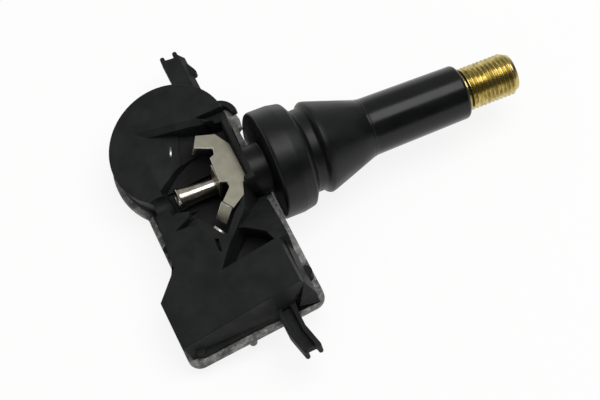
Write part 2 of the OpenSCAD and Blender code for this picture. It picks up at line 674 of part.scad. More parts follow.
// Ferrite drum of the wake-up coil and the wire on its waist
coil_l = 6;
coil_w = 2.4;
coil_h = 2.2;
coil_waist = 0.6;
coil_end = 1.1;
coil_x = chip_x - coil_w - 0.9;
coil_y = 0.3;
wire_gap = 0.15;
module coil_waist_bar() translate([coil_waist, 0, coil_waist])
    cube([coil_w - 2 * coil_waist, coil_l, coil_h - 2 * coil_waist]);
module coil_core() color(chip_black) on_board(coil_x, coil_y) {
    for (y = [0, coil_l - coil_end]) translate([0, y, 0]) cube([coil_w, coil_end, coil_h]);
    coil_waist_bar();
}
module coil_winding() color("#b5652e") on_board(coil_x, coil_y) difference() {
    translate([wire_gap, coil_end, wire_gap])
        cube([coil_w - 2 * wire_gap, coil_l - 2 * coil_end, coil_h - 2 * wire_gap]);
    coil_waist_bar();
}

crystal_size = [3.2, 2.5, 0.8];
module crystal() color(nickel) on_board(0.8, board_w - crystal_size[1] - 0.6) cube(crystal_size);

// Three capacitors stand in a row beside the coil, and one beyond the sensor
capacitor_size = [1.0, 2.0, 0.9];
capacitor_step = coil_x / 4.5;
module capacitors() color("#b39a72") {
    for (i = [0:2]) on_board(0.3 + capacitor_step * i, 0.5) cube(capacitor_size);
    on_board(board_l - capacitor_size[0] - 0.5, 1.5) cube(capacitor_size);
}

housing();
back_cover();
retaining_clip();
valve_rubber();
valve_stem();
valve_tube();
core_barrel();
core_gasket();
core_pin();
core_spring();
core_seal();
core_cup();
circuit_board();
battery_cell();
battery_tab_positive();
battery_tab_negative();
sensor_chip();
port_filter();
coil_core();
coil_winding();
crystal();
capacitors();
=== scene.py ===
# %% [markdown]
# # Dressing a snap-in tyre pressure sensor
#
# A sensor like this one hangs inside a car's wheel. A rubber valve snaps into the rim's hole, and a
# stamped clip holds a black plastic housing on the valve's inner end. The CAD solids already have
# the right size and place. This lesson gives them the finish that the eye expects: soft moulded
# edges, a real cap thread, grained plastic, stamped steel, drawn nickel and turned brass.
#
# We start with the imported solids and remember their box, because nothing may grow beyond it.

import bmesh
import bpy
import numpy as np
from mathutils import Matrix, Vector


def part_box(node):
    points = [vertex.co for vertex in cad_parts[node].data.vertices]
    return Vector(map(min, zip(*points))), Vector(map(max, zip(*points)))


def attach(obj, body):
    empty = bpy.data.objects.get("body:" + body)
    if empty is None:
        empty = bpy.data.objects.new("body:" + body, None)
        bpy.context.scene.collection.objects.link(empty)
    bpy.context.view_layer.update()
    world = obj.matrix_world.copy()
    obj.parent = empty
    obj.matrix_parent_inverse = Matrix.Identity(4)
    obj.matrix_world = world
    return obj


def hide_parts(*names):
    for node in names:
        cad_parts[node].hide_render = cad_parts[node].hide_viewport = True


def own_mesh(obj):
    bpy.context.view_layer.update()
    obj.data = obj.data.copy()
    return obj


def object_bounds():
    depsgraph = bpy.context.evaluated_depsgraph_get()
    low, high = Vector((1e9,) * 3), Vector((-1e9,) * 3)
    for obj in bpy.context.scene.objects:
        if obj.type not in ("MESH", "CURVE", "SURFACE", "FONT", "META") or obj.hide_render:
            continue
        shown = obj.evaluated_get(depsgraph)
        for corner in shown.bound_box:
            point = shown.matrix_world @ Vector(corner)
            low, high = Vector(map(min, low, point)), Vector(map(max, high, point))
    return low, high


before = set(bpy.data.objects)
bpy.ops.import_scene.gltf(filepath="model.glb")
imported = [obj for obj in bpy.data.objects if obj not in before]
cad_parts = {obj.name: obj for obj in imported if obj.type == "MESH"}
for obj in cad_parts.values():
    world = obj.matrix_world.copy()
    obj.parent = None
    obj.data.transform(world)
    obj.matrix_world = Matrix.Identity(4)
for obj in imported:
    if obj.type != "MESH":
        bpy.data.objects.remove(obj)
cad_box = [list(corner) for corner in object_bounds()]
MM = 0.001
print("CAD box in mm", np.round(np.array(cad_box) / MM, 2).tolist())

# %% [markdown]
# ## The camera
#
# The photograph looks down on the sensor at about 60 degrees, from the side of the electronics bay.
# A camera is described by three directions: its right, its up, and the way back towards the
# photographer. Writing them as the columns of a matrix is exact, where Euler angles would need
# to be converted first. The lens is long, so the valve hardly tapers towards its tip.

# %% Camera
CAMERA_RIGHT = (0.909201, -0.416235, 0.010111)
CAMERA_UP = (0.354078, 0.785750, 0.507174)
CAMERA_BACK = (-0.219048, -0.457543, 0.861784)
CAMERA_PLACE = (-0.087209154, -0.180147105, 0.323134134)
LENS_MM, SENSOR_MM = 131.556, 36.0
NEAREST_SEEN = 0.01


def add_object(name, data):
    """A new object that holds data, linked to the scene."""
    made = bpy.data.objects.new(name, data)
    bpy.context.scene.collection.objects.link(made)
    return made


def standing(right, up, back, place):
    """The matrix whose first three columns are the directions and whose fourth is the place."""
    turn = np.eye(4)
    turn[:3, :3] = np.array([right, up, back]).T
    turn[:3, 3] = place
    return Matrix(turn.tolist())


camera = add_object("camera", bpy.data.cameras.new("camera"))
camera.data.lens, camera.data.sensor_width = LENS_MM, SENSOR_MM
camera.data.clip_start = NEAREST_SEEN
camera.matrix_world = standing(CAMERA_RIGHT, CAMERA_UP, CAMERA_BACK, CAMERA_PLACE)
bpy.context.scene.camera = camera
bpy.context.scene.view_settings.view_transform = "Standard"
print("camera stands", round(float(np.linalg.norm(CAMERA_PLACE)), 3), "m from the groove")

# %% [markdown]
# ## Nodes and colours
#
# Every finish below is a small tree of nodes. One helper adds any kind of node and wires it, so
# that each recipe reads like a list. Colours are written as they look on a screen, in sRGB hex, and
# one function turns them into the linear values that light is added up in.

# %% Helpers for nodes and colours
def linear(hex_colour):
    """sRGB hex to linear RGBA: x / 12.92 below 0.04045, else ((x + 0.055) / 1.055) ** 2.4."""
    srgb = np.array([int(hex_colour[i:i + 2], 16) for i in (1, 3, 5)]) / 255
    lin = np.where(srgb <= 0.04045, srgb / 12.92, ((srgb + 0.055) / 1.055) ** 2.4)
    return (*lin.tolist(), 1.0)


def add_node(tree, kind, inputs, **settings):
    """Adds one node. Settings are its properties, inputs map a socket to a value or an output."""
    made = tree.nodes.new(kind)
    for name, value in settings.items():
        setattr(made, name, value)
    for socket, value in inputs.items():
        if isinstance(value, bpy.types.NodeSocket):
            tree.links.new(value, made.inputs[socket])
        else:
            made.inputs[socket].default_value = value
    return made


def combined(tree, operation, first, second):
    """The output of a Math node, such as the MAXIMUM or the MULTIPLY of two numbers."""
    made = add_node(tree, "ShaderNodeMath", {0: first, 1: second}, operation=operation)
    return made.outputs["Value"]


def ranged(tree, value, low, high, at_low, at_high, **settings):
    """A number that goes from at_low to at_high while value goes from low to high."""
    return add_node(tree, "ShaderNodeMapRange", {
        "Value": value, "From Min": low, "From Max": high, "To Min": at_low, "To Max": at_high,
    }, **settings).outputs["Result"]


print("mid grey in linear light", linear("#808080")[0])

# %% [markdown]
# ## Light
#
# Studio pictures of small black parts use one large soft lamp overhead and a white table. The
# lamp draws the long highlight on the rubber, and the table fills the undersides. The world does
# the room's part, and what it shows depends on the ray. A ray that bounced off gloss sees white
# near the table's height, a dark room in front that keeps black plastic black, and a lit wall
# behind that gives the flange its bright edge. A ray that was scattered sees an even grey that
# grows brighter overhead. A ray from the camera sees plain white.

# %% World
WHITE = (1.0, 1.0, 1.0, 1.0)
AMBIENT_LOW, AMBIENT_HIGH = 0.15, 0.62
AMBIENT_SPAN = (0.0, 0.8)
ROOM_FRONT, ROOM_BACK = 0.04, 0.4
WALL_SPAN, HORIZON_SPAN = (0.3, 0.38), (0.02, 0.25)
scene_world = bpy.data.worlds.new("studio")
bpy.context.scene.world = scene_world
scene_world.use_nodes = True
sky = scene_world.node_tree
sky.nodes.clear()
heading = add_node(sky, "ShaderNodeTexCoord", {}).outputs["Generated"]
toward = add_node(sky, "ShaderNodeSeparateXYZ", {"Vector": heading})
walls = ranged(sky, toward.outputs["Y"], *WALL_SPAN, ROOM_FRONT, ROOM_BACK)
room = ranged(sky, toward.outputs["Z"], *HORIZON_SPAN, 1.0, walls, interpolation_type="SMOOTHSTEP")
ambient = ranged(sky, toward.outputs["Z"], *AMBIENT_SPAN, AMBIENT_LOW, AMBIENT_HIGH)
path = add_node(sky, "ShaderNodeLightPath", {}).outputs
seen = combined(sky, "MAXIMUM", path["Is Camera Ray"], path["Is Transmission Ray"])
gloss_or_air = add_node(sky, "ShaderNodeMix", {
    "Factor": path["Is Glossy Ray"], "A": ambient, "B": room}).outputs["Result"]
strength = add_node(sky, "ShaderNodeMix", {
    "Factor": seen, "A": gloss_or_air, "B": 1.0}).outputs["Result"]
glow = add_node(sky, "ShaderNodeBackground", {"Color": WHITE, "Strength": strength})
add_node(sky, "ShaderNodeOutputWorld", {"Surface": glow.outputs["Background"]})
print("world nodes", len(sky.nodes))

# %% Lamp and table
LAMP_WAY = np.array([0.17, -0.03, 0.95])
LAMP_DISTANCE = 0.5
LAMP_POWER = 1.45
LAMP_SIZE = (0.42, 0.3)
lamp_data = bpy.data.lights.new("softbox", "AREA")
lamp_data.shape = "RECTANGLE"
lamp_data.size, lamp_data.size_y = LAMP_SIZE
lamp_data.energy = LAMP_POWER
lamp_back = LAMP_WAY / np.linalg.norm(LAMP_WAY)
lamp_right = np.cross([0.0, 1.0, 0.0], lamp_back)
lamp_right /= np.linalg.norm(lamp_right)
lamp = add_object("softbox", lamp_data)
lamp.matrix_world = standing(lamp_right, np.cross(lamp_back, lamp_right), lamp_back,
                             lamp_back * LAMP_DISTANCE)

TABLE_SIDE = 1.6
TABLE_GAP = 0.02 * MM
PAPER_GLOW = 0.86
table_z = cad_box[0][2] - TABLE_GAP
reach = TABLE_SIDE / 2
table_mesh = bpy.data.meshes.new("table")
table_mesh.from_pydata([(-reach, -reach, table_z), (reach, -reach, table_z),
                        (reach, reach, table_z), (-reach, reach, table_z)], [], [(0, 1, 2, 3)])
table = add_object("table", table_mesh)

paper = bpy.data.materials.new("white paper")
paper.use_nodes = True
tree = paper.node_tree
tree.nodes.clear()
path = add_node(tree, "ShaderNodeLightPath", {}).outputs
seen = combined(tree, "MAXIMUM", path["Is Camera Ray"], path["Is Glossy Ray"])
seen = combined(tree, "MAXIMUM", seen, path["Is Transmission Ray"])
share = combined(tree, "MULTIPLY", seen, PAPER_GLOW)
sheet = add_node(tree, "ShaderNodeBsdfDiffuse", {"Color": linear("#f4f4f2")})
bright = add_node(tree, "ShaderNodeEmission", {"Color": WHITE, "Strength": 1.0})
mixed = add_node(tree, "ShaderNodeMixShader", {
    0: share, 1: sheet.outputs["BSDF"], 2: bright.outputs["Emission"]})
add_node(tree, "ShaderNodeOutputMaterial", {"Surface": mixed.outputs["Shader"]})
table_mesh.materials.append(paper)
print("table at", round(table_z / MM, 2), "mm, lamp of", LAMP_POWER, "W")

# %% [markdown]
# ## A start for every finish
#
# All of these finishes are one Principled shader with constants on its own sockets, a colour that
# varies a little, and a bump for the surface's grain. This helper makes that start and hands back
# what a recipe needs. Object coordinates are in metres, so a pattern's scale is one over the size
# of its grain in metres.

# %% Start of a finish
NOISE_ROUGHNESS = 0.55


def start_finish(name, roughness, metallic=0.0, specular=0.5, coat=0.0):
    """A Principled material with its constants set, its tree, its shader and object coordinates."""
    finish = bpy.data.materials.new(name)
    finish.use_nodes = True
    tree = finish.node_tree
    shader = tree.nodes["Principled BSDF"]
    for socket, value in (("Roughness", roughness), ("Metallic", metallic),
                          ("Specular IOR Level", specular), ("Coat Weight", coat)):
        shader.inputs[socket].default_value = value
    place = add_node(tree, "ShaderNodeTexCoord", {}).outputs["Object"]
    return finish, tree, shader, place


def grain(tree, place, size_mm, detail=2.0, stretch=(1.0, 1.0, 1.0)):
    """Noise whose grains are size_mm across, stretched along an axis where its factor is small."""
    spread = add_node(tree, "ShaderNodeMapping", {"Vector": place, "Scale": stretch})
    return add_node(tree, "ShaderNodeTexNoise", {
        "Vector": spread.outputs["Vector"], "Scale": 1.0 / (size_mm * MM), "Detail": detail,
        "Roughness": NOISE_ROUGHNESS}).outputs["Fac"]


def between(tree, value, low, high, dark, light):
    """A colour that goes from dark to light while value goes from low to high."""
    ramp = add_node(tree, "ShaderNodeValToRGB", {"Fac": value})
    for stop, position, colour in zip(ramp.color_ramp.elements, (low, high), (dark, light)):
        stop.position = position
        stop.color = linear(colour)
    return ramp.outputs["Color"]


def mixed_colour(tree, factor, below, above, blend="MIX"):
    """The colour below with the colour above laid over it, as far as the factor says."""
    return add_node(tree, "ShaderNodeMix", {"Factor": factor, "A": below, "B": above},
                    data_type="RGBA", blend_type=blend).outputs["Result"]


def raise_surface(tree, shader, value, height_mm):
    """Bumps the shader's normal by height_mm where value is 1."""
    bump = add_node(tree, "ShaderNodeBump", {
        "Height": value, "Distance": height_mm * MM, "Strength": 1.0})
    tree.links.new(bump.outputs["Normal"], shader.inputs["Normal"])


print("finish helpers ready")

# %% [markdown]
# ## Black nylon
#
# The housing is glass-filled nylon 66, injection moulded in a spark-eroded mould. The mould's
# fine pits give a matte, faintly mottled black, and glass fibres near the skin make slow patches
# that are a shade lighter. The pits are about 0.2 mm across, and the patches a few millimetres.
# Round the tube's seat, where the well under the clip and the gap by the flange lie in shade, the
# colour of plastic and rubber is painted darker still, so a first cell defines that painted shade
# for both finishes. It is full within 5 mm of the seat and gone at 9 mm.

# %% Painted shade round the seat
PAINTED_SHADE_CENTRE = (-0.016, 0.0015, 0.001)
PAINTED_SHADE_FULL, PAINTED_SHADE_END = 0.0052, 0.0086
PAINTED_SHADE_COVER, PAINTED_SHADE_COLOUR = 0.85, "#070605"


# Painted shade: the colour turns near black round the seat, where the well and the gap lie in
# shade.
def with_painted_shade(tree, place, unshaded_colour):
    """The colour with painted shade: turned near black within a few millimetres of the tube's seat.
    """
    away = add_node(tree, "ShaderNodeVectorMath", {0: place, 1: PAINTED_SHADE_CENTRE},
                    operation="DISTANCE")
    cover = ranged(tree, away.outputs["Value"], PAINTED_SHADE_FULL, PAINTED_SHADE_END, PAINTED_SHADE_COVER, 0.0)
    return mixed_colour(tree, cover, unshaded_colour, linear(PAINTED_SHADE_COLOUR))


print("painted_shade fades out", PAINTED_SHADE_END / MM, "mm from the seat")

# %% Moulded glass-filled nylon
nylon, tree, shader, place = start_finish("glass-filled nylon, spark-eroded", 0.62, specular=0.14)
pits = grain(tree, place, 0.22, detail=3.0)
patches = grain(tree, place, 3.5)
tone = between(tree, patches, 0.35, 0.68, "#1c1d1d", "#242525")
speck = mixed_colour(tree, ranged(tree, pits, 0.66, 0.74, 0.0, 0.5), tone, linear("#3c3d3c"))
# The nylon's colour carries the painted shade round the seat.
tree.links.new(with_painted_shade(tree, place, speck), shader.inputs["Base Color"])
tree.links.new(ranged(tree, patches, 0.3, 0.7, 0.66, 0.54), shader.inputs["Roughness"])
raise_surface(tree, shader, pits, 0.018)
print("made", nylon.name)

# %% [markdown]
# ## Grey cover
#
# The rim that shows all round the underside is a grey, mineral-filled cover. Cut glass and mineral
# grains stand in its skin as light and dark specks of a few tenths of a millimetre. Cells of a
# Voronoi pattern have that speckle, where soft noise would look like cloud.

# %% Mineral-filled cover
SPECK_MM = 0.34
mineral, tree, shader, place = start_finish("mineral-filled polyester, sanded", 0.7, specular=0.3)
cells = add_node(tree, "ShaderNodeTexVoronoi", {"Vector": place, "Scale": 1.0 / (SPECK_MM * MM)})
specks = add_node(tree, "ShaderNodeSeparateColor", {"Color": cells.outputs["Color"]}).outputs["Red"]
cloud = grain(tree, place, 1.6)
tone = between(tree, specks, 0.1, 0.95, "#7f807e", "#a6a7a4")
shade = between(tree, cloud, 0.35, 0.65, "#9a9a98", "#ffffff")
tree.links.new(mixed_colour(tree, 1.0, tone, shade, "MULTIPLY"), shader.inputs["Base Color"])
raise_surface(tree, shader, specks, 0.02)
print("made", mineral.name)

# %% [markdown]
# ## Rubber
#
# The valve is EPDM rubber, pressed in a mould. It is deep black with the least touch of green,
# smoother than the housing, and it shows one long soft highlight. A thin bloom of wax makes its
# gloss uneven. The mould is polished where it forms the sleeve, so the highlight grows sharper
# from the cone's thin end on.

# %% Pressed EPDM rubber
POLISH_SPAN, POLISH_END = (8 * MM, 12 * MM), 0.55
epdm, tree, shader, place = start_finish("EPDM rubber, pressed", 0.36, specular=0.3)
bloom = grain(tree, place, 2.4, stretch=(0.35, 1.0, 1.0))
skin = grain(tree, place, 0.16, detail=3.0)
tone = between(tree, bloom, 0.3, 0.7, "#0b0d0c", "#111312")
# The rubber's colour carries the painted shade round the seat too.
tree.links.new(with_painted_shade(tree, place, tone), shader.inputs["Base Color"])
sleeve_way = add_node(tree, "ShaderNodeSeparateXYZ", {"Vector": place}).outputs["X"]
polish = ranged(tree, sleeve_way, *POLISH_SPAN, 1.0, POLISH_END)
uneven = ranged(tree, bloom, 0.3, 0.7, 0.34, 0.46)
tree.links.new(combined(tree, "MULTIPLY", uneven, polish), shader.inputs["Roughness"])
raise_surface(tree, shader, skin, 0.006)
print("made", epdm.name)

# %% [markdown]
# ## Metals
#
# Three metals show. The stem is free-cutting brass, turned on a lathe, so it carries fine rings
# round its axis and patches of brown tarnish. The tube is drawn and nickel plated, bright with
# faint lines along it. The clip is stamped from rolled spring steel, which is satin, with the
# mill's grain running one way. Where the punch sheared the sheet, the clip's edges are bare and
# paler than its faces. That paler colour is laid on every rounded edge and bend, where it is also
# a painted highlight.

# %% Turned brass
brass, tree, shader, place = start_finish("free-cutting brass, turned", 0.24, metallic=1.0)
rings = grain(tree, place, 0.09, stretch=(1.0, 0.02, 0.02))
tarnish = grain(tree, place, 1.4)
tone = between(tree, tarnish, 0.34, 0.66, "#a69459", "#d6c584")
tree.links.new(tone, shader.inputs["Base Color"])
tree.links.new(ranged(tree, tarnish, 0.3, 0.7, 0.34, 0.2), shader.inputs["Roughness"])
raise_surface(tree, shader, rings, 0.004)
print("made", brass.name)

# %% Drawn nickel tube
nickel, tree, shader, place = start_finish("nickel plate, drawn", 0.2, metallic=1.0)
lines = grain(tree, place, 0.1, stretch=(0.03, 1.0, 1.0))
film = grain(tree, place, 1.1, detail=3.0)
tree.links.new(between(tree, film, 0.35, 0.65, "#a8a395", "#d2cfc4"), shader.inputs["Base Color"])
tree.links.new(ranged(tree, film, 0.3, 0.7, 0.28, 0.16), shader.inputs["Roughness"])
raise_surface(tree, shader, lines, 0.003)
print("made", nickel.name)

# %% Rolled spring steel
spring_steel, tree, shader, place = start_finish("spring steel, rolled", 0.42, metallic=1.0)
mill = grain(tree, place, 0.07, stretch=(1.0, 0.04, 1.0))
stain = grain(tree, place, 1.8, detail=3.0)
tree.links.new(between(tree, stain, 0.3, 0.7, "#989484", "#a6a294"), shader.inputs["Base Color"])
tree.links.new(ranged(tree, mill, 0.3, 0.7, 0.48, 0.36), shader.inputs["Roughness"])
raise_surface(tree, shader, mill, 0.004)
print("made", spring_steel.name)

# %% One recipe for plain finishes, and the paler edge steel with its painted highlight
PLAIN_SPECULAR = 0.4


def plain_finish(name, dark, light, roughness, grain_mm, height_mm, metallic=0.0, coat=0.0,
                 stretch=(1.0, 1.0, 1.0)):
    """A colour between dark and light over grains of grain_mm, raised by height_mm."""
    finish, tree, shader, place = start_finish(name, roughness, metallic, PLAIN_SPECULAR, coat)
    fine = grain(tree, place, grain_mm, detail=3.0, stretch=stretch)
    tree.links.new(between(tree, fine, 0.35, 0.65, dark, light), shader.inputs["Base Color"])
    raise_surface(tree, shader, fine, height_mm)
    return finish


# Paler steel: in part bare sheared steel, in part a painted highlight on edges and bends.
bare_edge_and_painted_highlight = plain_finish("steel, sheared edge", "#d8d5ca", "#efede6", 0.42, 0.1, 0.002, metallic=1.0)
print("made", bare_edge_and_painted_highlight.name)

# %% [markdown]
# ## Finishes inside
#
# The parts inside only show when the sensor is opened, yet each has its own finish: green solder
# mask with a weave below it, black moulding compound, ferrite, enamelled copper, tan ceramic and
# white PTFE. They share one recipe, a mottled colour over a fine grain, with numbers of their own.

# %% Finishes of the parts inside
INSIDE = {
    "board": plain_finish("solder mask on glass epoxy", "#1c4a2c", "#2a6440", 0.35, 0.5, 0.01,
                          coat=0.3),
    "chip": plain_finish("epoxy moulding compound", "#161718", "#222325", 0.55, 0.12, 0.006),
    "ferrite": plain_finish("sintered ferrite", "#232322", "#32312f", 0.7, 0.2, 0.012),
    "copper": plain_finish("enamelled copper wire", "#8a3f17", "#c2682c", 0.3, 0.08, 0.02,
                           metallic=1.0, coat=0.4, stretch=(1.0, 1.0, 0.05)),
    "ceramic": plain_finish("tan ceramic", "#96794f", "#b59a70", 0.5, 0.15, 0.004),
    "ptfe": plain_finish("white PTFE", "#dcdcd6", "#f0f0ec", 0.6, 0.2, 0.006),
    "nitrile": plain_finish("nitrile rubber", "#101111", "#1b1c1c", 0.5, 0.2, 0.006),
    "wire": plain_finish("drawn spring wire", "#8d8c88", "#b8b6b0", 0.3, 0.1, 0.003, metallic=1.0),
}
print("made", len(INSIDE), "finishes for the inside")

# %% Finish each CAD node that stays
NODE_FINISH = {
    "core_barrel": brass, "core_pin": brass, "core_cup": brass,
    "core_gasket": INSIDE["ptfe"], "core_seal": INSIDE["nitrile"],
    "circuit_board": INSIDE["board"], "battery_cell": nickel, "battery_tab_positive": nickel,
    "battery_tab_negative": nickel, "sensor_chip": INSIDE["chip"], "port_filter": INSIDE["ptfe"],
    "coil_core": INSIDE["ferrite"], "coil_winding": INSIDE["copper"], "crystal": nickel,
    "capacitors": INSIDE["ceramic"],
}
for node_name, finish in NODE_FINISH.items():
    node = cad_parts[node_name]
    node.data.materials.clear()
    node.data.materials.append(finish)
print("finished", len(NODE_FINISH), "nodes")

# %% [markdown]
# ## Softening moulded and stamped edges
#
# No real edge is a knife's edge. Moulded plastic has radii of about a fifth of a millimetre, and a
# stamped sheet is rolled over where the punch went in. The solids come as loose triangles, so a
# copy is merged, its flat faces are joined into single polygons, and a Bevel modifier rounds every
# edge that is sharper than a set angle.
#
# A bevel folds over itself where short edges crowd round a corner, and that shows as a spike. So
# each edge has a weight: one where it is sharp and both its ends are clear, and zero elsewhere.
# Rounded edges would also bend the shading of the flat faces beside them. A second modifier
# weights each normal by the area of its faces, and that keeps large flats flat. Its scale goes
# from 1 to 100, and at 100 the large faces decide alone.

# %% Softened copies
MERGE_SOLID = 0.002 * MM
FLAT_DEGREES = 0.4
CLEAR_WIDTHS = 3
LARGE_FACES_DECIDE = 100


def place_piece(piece, finish, slot, body, *nodes):
    """Gives a piece its finish and its body, and hides the CAD nodes that it stands for. The slot
    is not used.
    """
    piece.data.materials.clear()
    piece.data.materials.append(finish)
    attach(piece, body)
    if nodes:
        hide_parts(*nodes)


def shade_smooth(mesh):
    """Marks every face of the mesh as smooth."""
    mesh.polygons.foreach_set("use_smooth", np.ones(len(mesh.polygons), bool))


def softened(node_name, name, width_mm, sharp_degrees, segments=2):
    """A merged copy of a CAD node whose edges over sharp_degrees are rounded by width_mm."""
    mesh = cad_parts[node_name].data.copy()
    mesh.name = name
    if "custom_normal" in mesh.attributes:
        mesh.attributes.remove(mesh.attributes["custom_normal"])
    work = bmesh.new()
    work.from_mesh(mesh)
    bmesh.ops.remove_doubles(work, verts=work.verts, dist=MERGE_SOLID)
    bmesh.ops.dissolve_limit(work, angle_limit=np.radians(FLAT_DEGREES), verts=work.verts,
                             edges=work.edges)
    work.verts.index_update()
    ends = np.array([[v.index for v in edge.verts] for edge in work.edges])
    bend, length = np.array([[edge.calc_face_angle(0.0), edge.calc_length()]
                             for edge in work.edges]).T
    crowded = np.zeros(len(work.verts), bool)
    crowded[ends[length < CLEAR_WIDTHS * width_mm * MM].ravel()] = True
    weight = (bend > np.radians(sharp_degrees)) & ~crowded[ends].any(axis=1)
    work.to_mesh(mesh)
    work.free()
    weights = mesh.attributes.new("bevel_weight_edge", "FLOAT", "EDGE")
    weights.data.foreach_set("value", weight.astype(float))
    shade_smooth(mesh)
    mesh.set_sharp_from_angle(angle=np.radians(sharp_degrees))
    piece = add_object(name, mesh)
    bevel = piece.modifiers.new("rounded edges", "BEVEL")
    bevel.width = width_mm * MM
    bevel.segments = segments
    bevel.limit_method = "WEIGHT"
    bevel.use_clamp_overlap = False
    normals = piece.modifiers.new("flat faces stay flat", "WEIGHTED_NORMAL")
    normals.keep_sharp = True
    normals.weight = LARGE_FACES_DECIDE
    return piece


housing = softened("housing", "housing_shell", width_mm=0.16, sharp_degrees=24)
place_piece(housing, nylon, "housing_black", "sensor", "housing")
cover = softened("back_cover", "cover_plate", width_mm=0.2, sharp_degrees=30)
place_piece(cover, mineral, "cover_grey", "sensor", "back_cover")
clip = softened("retaining_clip", "stamped_clip", width_mm=0.11, sharp_degrees=20, segments=3)
place_piece(clip, spring_steel, "spring_steel", "sensor", "retaining_clip")
# The clip's rounded edges and bends take the paler steel, which is partly a painted highlight.
clip.data.materials.append(bare_edge_and_painted_highlight)
clip.modifiers["rounded edges"].material = 1
for piece in (housing, cover, clip):
    print(piece.name, len(piece.data.polygons), "faces before rounding")

# %% [markdown]
# ## Turned shapes
#
# The rubber, the stem and the tube are all bodies of revolution. Each is a profile of pairs, the
# place along the valve and the radius, carried once round the axis on a grid. A corner of the
# profile is first replaced by a short curve, so that the turned edge is soft.

# %% Profiles and turned grids
SIDES = 128
CUT_LIMIT = 0.45
MERGE_GRID, NARROWEST = 0.0015 * MM, 0.0005 * MM


def rounded(points, radii, steps):
    """Replaces each corner P by the curve (1-t)^2 A + 2t(1-t) P + t^2 B, with A and B on its sides.

    A and B lie at the corner's radius from P, or nearer where a side is short.
    """
    corner = np.array(points, float)
    before, after = np.roll(corner, 1, axis=0) - corner, np.roll(corner, -1, axis=0) - corner
    reach_before = np.linalg.norm(before, axis=1, keepdims=True)
    reach_after = np.linalg.norm(after, axis=1, keepdims=True)
    cut = np.minimum(np.array(radii, float)[:, None],
                     CUT_LIMIT * np.minimum(reach_before, reach_after))
    start, end = corner + before / reach_before * cut, corner + after / reach_after * cut
    t = np.linspace(0.0, 1.0, steps)[None, :, None]
    a, p, b = start[:, None], corner[:, None], end[:, None]
    return ((1 - t) ** 2 * a + 2 * t * (1 - t) * p + t ** 2 * b).reshape(-1, 2)


def soft_profile(corners, least_radius, steps):
    """Pairs (x, r) from rows (x, r, corner radius), where no corner radius is under the least."""
    rows = np.array(corners)
    return rounded(rows[:, :2], np.maximum(rows[:, 2], least_radius), steps)


def turned_grid(profile):
    """Points (x, r cos a, r sin a) for each pair (x, r) of the profile and each angle a."""
    angle = np.linspace(0.0, 2 * np.pi, SIDES, endpoint=False)
    x, r = profile[:, :1], profile[:, 1:]
    return np.stack([np.broadcast_to(x, (len(profile), SIDES)), r * np.cos(angle),
                     r * np.sin(angle)], axis=-1)


def grid_faces(rows, columns, first=0, close_rows=True, close_columns=True):
    """Four corners of each cell of a grid, which may close into a ring either way."""
    i = np.arange(rows if close_rows else rows - 1)[:, None]
    j = np.arange(columns if close_columns else columns - 1)[None, :]
    below, beside = (i + 1) % rows, (j + 1) % columns
    corners = np.stack(np.broadcast_arrays(i * columns + j, i * columns + beside,
                                           below * columns + beside, below * columns + j), axis=-1)
    return corners.reshape(-1, 4) + first


def mesh_piece(name, points_mm, faces):
    """A smooth mesh from points in mm and quads, doubles merged and its faces turned outwards."""
    mesh = bpy.data.meshes.new(name)
    mesh.from_pydata((points_mm * MM).tolist(), [], faces.tolist())
    work = bmesh.new()
    work.from_mesh(mesh)
    bmesh.ops.remove_doubles(work, verts=work.verts, dist=MERGE_GRID)
    bmesh.ops.dissolve_degenerate(work, edges=work.edges, dist=NARROWEST)
    bmesh.ops.recalc_face_normals(work, faces=work.faces)
    open_edges = sum(not edge.is_manifold for edge in work.edges)
    work.to_mesh(mesh)
    work.free()
    shade_smooth(mesh)
    print(name, len(mesh.polygons), "faces,", open_edges, "open edges")
    return add_object(name, mesh)


def turned(name, profile):
    """A ring-shaped body of revolution from a closed profile of (x, r) pairs in mm."""
    return mesh_piece(name, turned_grid(profile).reshape(-1, 3), grid_faces(len(profile), SIDES))


# %% [markdown]
# ## Rubber valve
#
# From the inside out the rubber has a boss in the housing's wall, a flange that seals on the rim,
# the groove for the rim's edge, a bulge that snaps through the hole, a cone, and a sleeve over
# the stem. A faint ring where the cone meets the sleeve is where the mould's inserts met. The
# profile closes along the stem, because the rubber is bonded to it. Each row is a corner: its
# place along the valve, its radius from the axis, and the radius it is rounded by, all in mm.

# %% Rubber valve
RUBBER = [
    (-11.6, 1.55, 0), (-11.6, 4.6, 0.5), (-8.0, 4.6, 0.35), (-8.0, 9.8, 0.7), (-4.14, 9.79, 0.06),
    (-2.0, 9.4, 0.3), (-0.85, 7.5, 0.3), (0.85, 7.5, 0.3), (1.25, 8.05, 0.15), (1.7, 8.35, 0.25),
    (2.4, 8.22, 0.4), (11.0, 5.34, 0.5), (11.3, 5.32, 0.05), (11.36, 5.26, 0.05), (12.0, 5.19, 0.6),
    (29.5, 4.92, 0.35), (29.9, 4.6, 0.2), (29.9, 3.2, 0.05), (5.0, 3.2, 0), (5.0, 4.1, 0),
    (3.0, 4.1, 0), (3.0, 3.2, 0), (-6.0, 3.2, 0), (-6.0, 1.55, 0),
]
rubber = turned("valve_body", soft_profile(RUBBER, least_radius=0.01, steps=5))
place_piece(rubber, epdm, "valve_rubber", "sensor", "valve_rubber")

# %% [markdown]
# ## Stem with its cap thread
#
# A tyre valve's cap thread is 7.7 mm across with 32 turns to the inch. The grid of the thread is
# sheared, so that its rows follow the helix: at the angle a every row has moved along by the pitch
# times a over a full turn. After one turn a row meets the row one pitch further, so the seam
# closes by merging. The ridge fades to the root's radius at both ends.

# %% Brass stem
PITCH = 25.4 / 32
THREAD_START, THREAD_END = 30.2, 39.45
THREAD_TOP, THREAD_DEPTH = 3.85, 0.42
ROWS_PER_TURN = 14
RIDGE_SLOPE, RIDGE_SINK = 1.3, 0.12
FADE_TURNS = 0.6


